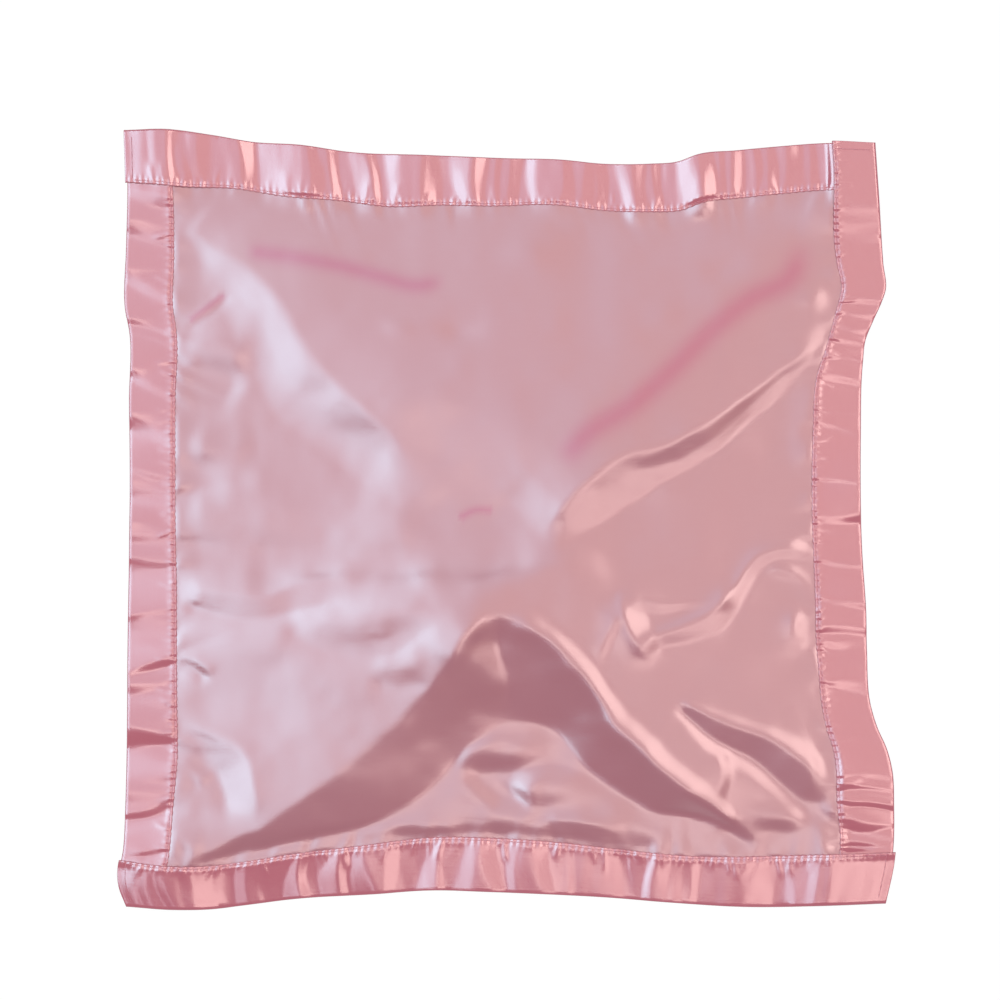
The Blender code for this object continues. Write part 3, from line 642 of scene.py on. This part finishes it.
# Panels
panels = {
    "step": 1.75 * mm, "backStep": 2.5 * mm, "tuck": 2.6 * mm,
    "puckerHeight": 0.42 * mm, "puckerSpacing": 4.6 * mm, "puckerReach": 5 * mm,
    "puckerLift": 0.12 * mm, "puckerEase": 2.5 * mm,
    "puckerVary": (0.8, 14 * mm), "puckerSlant": (0.5, 30 * mm),  # how much, and how often it changes
    "streakEnds": (0.08, 0.12),
    # folds of the back panel that show through the face: route, half width and strength
    "underFolds": (
        (((25, 25), (40, 42), (60, 55), (80, 72), (100, 92), (120, 108), (138, 118), (148, 140)), 6, 1),
        (((-130, 132), (-100, 128), (-80, 124), (-62, 119), (-45, 115), (-28, 118)), 4.2, 1),
        (((-24, 0), (-16, 4), (-6, 4)), 2.2, 0.9),
        (((-157, 97), (-138, 111)), 2, 0.8),
    ),
}


def unevenLine(along, seed, spacing, lead=0.02, span=0.5):
    # smooth random bumps at uneven places along a seam, from -1 to 1, and past both its ends
    drawn = np.random.default_rng(seed)
    places = np.cumsum(drawn.uniform(0.5, 1.5, int(span / spacing)) * spacing) - lead
    heights = drawn.uniform(-1, 1, len(places))
    return smoothLine(np.stack([places, heights], 1), along)


def seamPuckers(u, v, seed):
    # short puckers that run off each seam into the panel
    total = np.zeros_like(u)
    vary, varySpacing = panels["puckerVary"]
    lean, leanSpacing = panels["puckerSlant"]
    for k, (inset, along) in enumerate(((u, v), (width - u, v), (v, u), (length - v, u))):
        past = np.maximum(inset - seamLine, 0)
        reach = panels["puckerReach"] * (1 + vary * unevenLine(along, seed + 10 + k, varySpacing))
        slant = lean * unevenLine(along, seed + 20 + k, leanSpacing)
        wave = unevenLine(along + slant * past, seed + k, panels["puckerSpacing"])
        total += wave * np.exp(-past / reach)
    return total * panels["puckerHeight"]


def makePanel(name, side, step, material):
    tuck = panels["tuck"]
    columns, rows = round((width - 2 * tuck) / step) + 1, round((length - 2 * tuck) / step) + 1
    u, v = np.meshgrid(np.linspace(tuck, width - tuck, columns), np.linspace(tuck, length - tuck, rows),
                       indexing="ij")
    points = lay(u, v, side * panelOffset)
    inset = np.minimum(np.minimum(u, width - u), np.minimum(v, length - v))
    shown = ease((inset - seamLine) / panels["puckerEase"])
    points[..., 2] += side * np.maximum(seamPuckers(u, v, 100) + panels["puckerLift"], 0) * shown
    # U across the floats: on the panels they run from side to side
    uvs = np.stack([v / length, u / width], -1)
    piece = clothPiece(name, points, gridFaces(columns, rows), uvs, material, blanket["panelCloth"])
    underFold = np.zeros(points.shape[:2])
    begin, end = panels["streakEnds"]
    for route, wide, strength in panels["underFolds"]:
        away, behind = besideRoute(points[..., 0] / mm, points[..., 1] / mm, route)
        along = ease(behind / begin) * ease((1 - behind) / end)
        underFold = np.maximum(underFold, strength * along * np.exp(-(away / wide) ** 2))
    marks = piece.data.attributes.new("underFold", "FLOAT", "POINT")
    marks.data.foreach_set("value", underFold.reshape(-1).astype(np.float32))
    return piece


facePanel = makePanel("facePanel", 1, panels["step"], panelSatin)
backPanel = makePanel("backPanel", -1, panels["backStep"], backSatin)
print("panels laid")

# Ribbons
ribbons = {
    "step": 0.8 * mm, "faceRows": 16, "seamRows": (9, 0.5),  # rows beside the seam, mm between them
    "turnSteps": 6, "foldSteps": 8, "foldRound": 0.5 * mm, "foldTaper": 2.5 * mm, "openFrom": 0.2 * mm,
    # a turned-in end is pressed flat up to "puffFrom"
    "groove": 0.9 * mm, "puff": 0.1 * mm, "seamPuff": 0.3, "puffFrom": 4.5 * mm, "puffEase": 6 * mm,
    "stitchPuff": 0.2 * mm, "stitchReach": 2.2 * mm, "stitchScallop": 0.3 * mm, "scallopReach": 2 * mm,
    "creaseHeight": 0.16 * mm, "creaseHeights": (0.2, 1.3),
    "creaseWide": 1.5 * mm, "creaseWidths": (0.6, 1.5), "creaseSlant": 0.4,
    "creaseSpacing": 6.5 * mm, "creaseGaps": (0.4, 1.6),
    "creaseStart": (3, 12), "creaseEnds": 6 * mm, "creaseSeam": 1.2 * mm,
    "seed": 30,
}


def edgePoint(edge, along, inset, offset):
    u, v = {"left": (inset, along), "right": (width - inset, along),
            "bottom": (along, inset), "top": (along, length - inset)}[edge]
    return lay(u, v, offset)


def ribbonLevel(edge, along):
    # how far a ribbon stands over the one that it covers, and how much of its puff it has
    size = edgeLengths[edge]
    atStart = along < size / 2
    shown = np.where(atStart, *shownEnds[edge])
    inset = np.where(atStart, along, size - along)
    standOut = coverStep * nearEnd(along, size) * shown
    puff = np.where(shown, ease((inset - ribbons["puffFrom"]) / ribbons["puffEase"]), 1)
    return standOut, puff


def ribbonCreases(edge, along, inset):
    # short creases that fan out from the stitches
    drawn = np.random.default_rng(ribbons["seed"] + edgeSeeds[edge])
    size, lean = edgeLengths[edge], ribbons["creaseSlant"]
    across = inset / band
    total = np.zeros_like(along)
    ends = ribbons["creaseEnds"]
    place = ends
    while place < size - ends:
        height = ribbons["creaseHeight"] * drawn.uniform(*ribbons["creaseHeights"])
        wide = ribbons["creaseWide"] * drawn.uniform(*ribbons["creaseWidths"])
        slant = drawn.uniform(-lean, lean)
        start = seamLine - drawn.uniform(*ribbons["creaseStart"]) * mm
        off = (along - place - slant * (inset - band)) / (wide * (1.5 - across))
        reach = ease((inset - start) / ends) * ease((band - inset) / ribbons["creaseSeam"])
        total += height * np.exp(-off ** 2) * reach
        place += ribbons["creaseSpacing"] * drawn.uniform(*ribbons["creaseGaps"])
    return total


def makeRibbon(edge):
    size = edgeLengths[edge]
    over, turned = blanket["endOverhang"], blanket["endTurnIn"]
    turn = [(turned * share, 1) for share in (1, 0.6, 0.3)]
    steps = ribbons["turnSteps"]
    for k in range(steps + 1):  # round the turned-in end
        angle = math.pi * k / steps
        turn.append((-over + nest / 2 * (1 - math.sin(angle)), (1 + math.cos(angle)) / 2))
    start, end = (turn if shown else [(blanket["coveredCut"], 0)] for shown in shownEnds[edge])
    first, last = start[-1][0], size - end[-1][0]
    middle = np.linspace(first, last, round((last - first) / ribbons["step"]) + 1)[1:-1]
    line = start + [(a, 0) for a in middle] + [(size - a, n) for a, n in reversed(end)]
    along, nested = np.array(line).T
    # across the ribbon: (inset from the fold, 1 on the face to -1 on the back)
    rows, gap = ribbons["seamRows"]
    face = [band - k * gap * mm for k in range(rows)]
    face += list(np.linspace(band - (rows + 1) * gap * mm, ribbons["foldRound"], ribbons["faceRows"]))
    profile = [(r, 1) for r in face]
    steps = ribbons["foldSteps"]
    for k in range(1, steps):
        angle = math.pi * k / steps
        profile.append((ribbons["foldRound"] * (1 - math.sin(angle)), math.cos(angle)))
    profile += [(r, -1) for r in reversed(face)]
    inset, side = np.array(profile).T
    alongGrid, insetGrid = np.meshgrid(along, inset, indexing="ij")
    sideGrid, nestGrid = np.meshgrid(side, nested)
    standOut, puffShare = ribbonLevel(edge, alongGrid)
    fromSeam = insetGrid - seamLine
    puffShape = 1 - np.exp(-(fromSeam / ribbons["groove"]) ** 2)
    puffShape = np.where(fromSeam > 0, puffShape * ribbons["seamPuff"], puffShape)
    # each stitch pinches the ribbon, which stands up and bulges between two of them
    bulge = 0.5 - 0.5 * np.cos(2 * np.pi * alongGrid / blanket["stitchPitch"])
    atSeam = np.exp(-(fromSeam / ribbons["stitchReach"]) ** 2)
    bulk = seamOffset + standOut - nestGrid * nest + puffShape * puffShare * ribbons["puff"]
    bulk += ribbons["stitchPuff"] * bulge * atSeam * (1 - nestGrid)
    # pressed fold: the two halves close up towards the edge
    closing = ribbons["foldRound"] + ease(insetGrid / ribbons["foldTaper"]) * (bulk - ribbons["foldRound"])
    thin = np.where(standOut > ribbons["openFrom"], bulk, closing)
    creased = ribbonCreases(edge, alongGrid, insetGrid) * (1 - nestGrid) * puffShare
    height = sideGrid * thin + np.where(sideGrid > 0, creased * sideGrid, 0)
    tuckIn = nestGrid * nest * (1 - insetGrid / band)
    reach = ribbons["scallopReach"]
    scallop = ribbons["stitchScallop"] * (bulge - 0.5) * ease((insetGrid - band + reach) / reach)
    points = edgePoint(edge, alongGrid, insetGrid + tuckIn + scallop, height)
    across = np.concatenate([[0], np.cumsum(np.hypot(np.diff(inset), np.diff(side) * seamOffset))])
    uvs = np.stack(np.meshgrid(across / across[-1], along / size), -1)
    piece = clothPiece(edge + "Binding", points, gridFaces(len(along), len(inset)), uvs, ribbonSatin,
                       blanket["ribbonCloth"])
    piece.data.attributes.new("underFold", "FLOAT", "POINT")  # nothing shows through a ribbon
    return piece


bindings = {edge: makeRibbon(edge) for edge in ("left", "top", "right", "bottom")}
print("ribbons folded over the edges")

# Stitches: the thread lies along the ribbon between two holes and dips into the cloth at each
stitches = {
    "lifts": ((0, 0), (0.14, 0.8), (0.5, 1), (0.86, 0.8)),  # share of a stitch, share of its rise
    "rise": 0.55, "sink": 0.25,  # in thread widths
    "clear": 0.1 * mm,
}


def stitchPath(edge):
    size, (shownStart, shownEnd) = edgeLengths[edge], shownEnds[edge]
    row, fold, covered = blanket["endStitch"], blanket["endStitchFold"], blanket["coveredStitch"]
    corners = [(row, fold), (row, seamLine)] if shownStart else [(covered, seamLine)]
    corners += [(size - row, seamLine), (size - row, fold)] if shownEnd else [(size - covered, seamLine)]
    path = []
    for (a0, r0), (a1, r1) in zip(corners, corners[1:]):
        count = max(1, round(math.hypot(a1 - a0, r1 - r0) / blanket["stitchPitch"]))
        for k in range(count):
            for share, lift in stitches["lifts"]:
                t = (k + share) / count
                path.append((a0 + (a1 - a0) * t, r0 + (r1 - r0) * t, lift))
    path.append((*corners[-1], 0))
    return np.array(path)


def makeThread(edge, kind, side):
    path = stitchPath(edge)
    along, inset, lift = path[:, 0], path[:, 1], path[:, 2]
    rest = seamOffset + ribbonLevel(edge, along)[0] + blanket["ribbonCloth"] / 2
    rise = (lift * stitches["rise"] - stitches["sink"]) * blanket["threadWidth"]
    offset = side * (rest + rise + stitches["clear"] * (lift > 0))
    points = edgePoint(edge, along, inset, offset)
    line = bpy.data.curves.new(edge + kind + "Thread", "CURVE")
    line.dimensions = "3D"
    line.bevel_depth = blanket["threadWidth"] / 2
    line.bevel_resolution = 2
    line.resolution_u = 2
    line.use_fill_caps = True
    spline = line.splines.new("BEZIER")
    spline.bezier_points.add(len(points) - 1)
    for knot, point in zip(spline.bezier_points, points):
        knot.co = point
        knot.handle_left_type = knot.handle_right_type = "AUTO"
    line.materials.append(sewingThread)
    return addObject(line.name, line)


threads = {}
for edge in bindings:
    threads[edge, "needle"] = makeThread(edge, "Needle", 1)
    threads[edge, "bobbin"] = makeThread(edge, "Bobbin", -1)
print("seams stitched")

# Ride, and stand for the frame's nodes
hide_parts("face_panel")
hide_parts("back_panel")
for piece in (facePanel, backPanel):
    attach(piece, "root")
for edge, piece in bindings.items():
    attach(piece, "root")
    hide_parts(edge + "_binding")
for (edge, kind), strand in threads.items():
    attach(strand, "root")
    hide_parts(edge + "_" + kind + "_thread")

# Everything above was laid out round the blanket's middle: seat it where the frame stands
pieces = [facePanel, backPanel, *bindings.values(), *threads.values()]
bpy.context.view_layer.update()
low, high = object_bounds()
middle = (Vector(cadBox[0]) + Vector(cadBox[1])) / 2
shift = Vector((middle.x - (low.x + high.x) / 2, middle.y - (low.y + high.y) / 2, -low.z))
for piece in pieces:
    piece.location += shift
bpy.context.view_layer.update()

# Floor: white paper, kept white to the camera and in gloss, with the blanket's soft shadow
floorLook = {"size": 6, "colour": "#f4f4f4", "glow": 1.02, "glowShare": 0.95}
bpy.ops.mesh.primitive_plane_add(size=floorLook["size"])
floor = bpy.context.object
floor.name = "paperFloor"
paper, tree, matt = newMaterial("matt white paper")
setInputs(matt, {"Base Color": linear(floorLook["colour"]), "Roughness": 0.9, "Specular IOR Level": 0.1})
rays = addNode(tree, "LightPath")
seen = addNode(tree, "Math", {"operation": "MAXIMUM"}, i0=rays.outputs["Is Camera Ray"],
               i1=rays.outputs["Is Glossy Ray"])
glow = addNode(tree, "Emission", Color=(1, 1, 1, 1), Strength=floorLook["glow"])
share = addNode(tree, "Math", {"operation": "MULTIPLY"}, i0=seen, i1=floorLook["glowShare"])
mixed = addNode(tree, "MixShader", i0=share, i1=matt, i2=glow)
setInputs(tree.nodes["Material Output"], {"Surface": mixed})
floor.data.materials.append(paper)

# Studio: a cool window on the left, a warm lamp on the right, a weak ceiling light between them and
# small lights below. They lie side by side, because one that overlaps another would hide it.
# Middle and size, as the cloth sees them overhead in slopes from straight up; radiance and colour
lamps = {
    "windowLight": ((-0.434, 0.15), (0.428, 0.66), 7.2, "#ccebfc"),
    "windowNear": ((-0.17, 0.15), (0.1, 0.66), 4.5, "#d8e8f8"),
    "windowFrame": ((-0.1, 0.175), (0.04, 0.61), 3.2, "#ece4f0"),
    "windowSill": ((-0.14, -0.21), (0.1, 0.06), 3, "#f2e6f0"),
    "warmLight": ((0.365, 0.18), (0.29, 0.55), 6.6, "#ffdcd4"),
    "ceilingLeft": ((-0.0175, 0.235), (0.125, 0.55), 2.2, "#f4ecf6"),
    "ceilingRight": ((0.1175, 0.235), (0.145, 0.55), 2.1, "#ffdcd0"),
    "ceilingLow": ((0.145, -0.0775), (0.09, 0.075), 2.1, "#ffdcd2"),
    "warmLow": ((0.2, -0.17), (0.24, 0.11), 5.3, "#ffdcd4"),
    "frontLight": ((0.02, -0.0875), (0.11, 0.095), 5.2, "#ffe6e0"),
    "frontLeft": ((-0.0575, -0.0875), (0.045, 0.095), 2.8, "#f8eaf0"),
    "farLeft": ((-0.07, 0.39), (0.18, 0.26), 2.6, "#e8eeff"),
    "farRight": ((0.12, 0.39), (0.17, 0.26), 2.6, "#ffdcd4"),
    "lowLight": ((0.28, -0.42), (0.4, 0.24), 0.15, "#ffd0b0"),
    "sideLight": ((0.42, -0.19), (0.2, 0.22), 0.8, "#ffd0b0"),
}
lampDistance = 8.0
for name, (middle, size, radiance, colour) in lamps.items():
    light = bpy.data.lights.new(name, "AREA")
    light.shape = "RECTANGLE"
    light.size, light.size_y = (share * lampDistance for share in size)
    light.energy = radiance * math.pi * light.size * light.size_y
    light.color = linear(colour)[:3]
    addObject(name, light).location = Vector((*middle, 1)) * lampDistance

world = bpy.data.worlds.new("studio")
bpy.context.scene.world = world
world.use_nodes = True
tree = world.node_tree
fill = tree.nodes["Background"]
worldRays = addNode(tree, "LightPath")
# White to the camera. Gloss sees the pale walls round the table, by how high up it looks (sine of
# the angle, strength), so that the satin keeps its sheen from the side
fillLevel = 0.29
walls = ((0, 0.5), (0.13, 0.45), (0.24, 0.8), (0.36, 1.0), (0.5, 0.9), (0.66, 0.4), (0.8, fillLevel))
direction = addNode(tree, "TexCoord")
upward = addNode(tree, "SeparateXYZ", i0=direction.outputs["Generated"])
wallRamp = addNode(tree, "ValToRGB", i0=upward.outputs["Z"])
stops = wallRamp.color_ramp.elements
for _ in walls[2:]:
    stops.new(0.5)
for stop, (height, strength) in zip(stops, walls):
    stop.position, stop.color = height, (strength, strength, strength, 1)
inGloss = addNode(tree, "Mix", i0=worldRays.outputs["Is Glossy Ray"], i2=fillLevel, i3=wallRamp)
level = addNode(tree, "Math", {"operation": "MAXIMUM"}, i0=inGloss, i1=worldRays.outputs["Is Camera Ray"])
setInputs(fill, {"Color": (1, 1, 1, 1), "Strength": level})
world.cycles.sampling_method = "NONE"

# Camera: straight above, as the photograph was taken
camera = {"height": 4.0, "frameWidth": 0.4925, "aim": (-0.0032, 0.0096)}
cameraData = bpy.data.cameras.new("overhead")
cameraData.lens = cameraData.sensor_width * camera["height"] / camera["frameWidth"]
overhead = addObject("overhead", cameraData)
overhead.location = (*camera["aim"], camera["height"])
bpy.context.scene.camera = overhead
bpy.context.scene.view_settings.view_transform = "Standard"

print("scene ready")
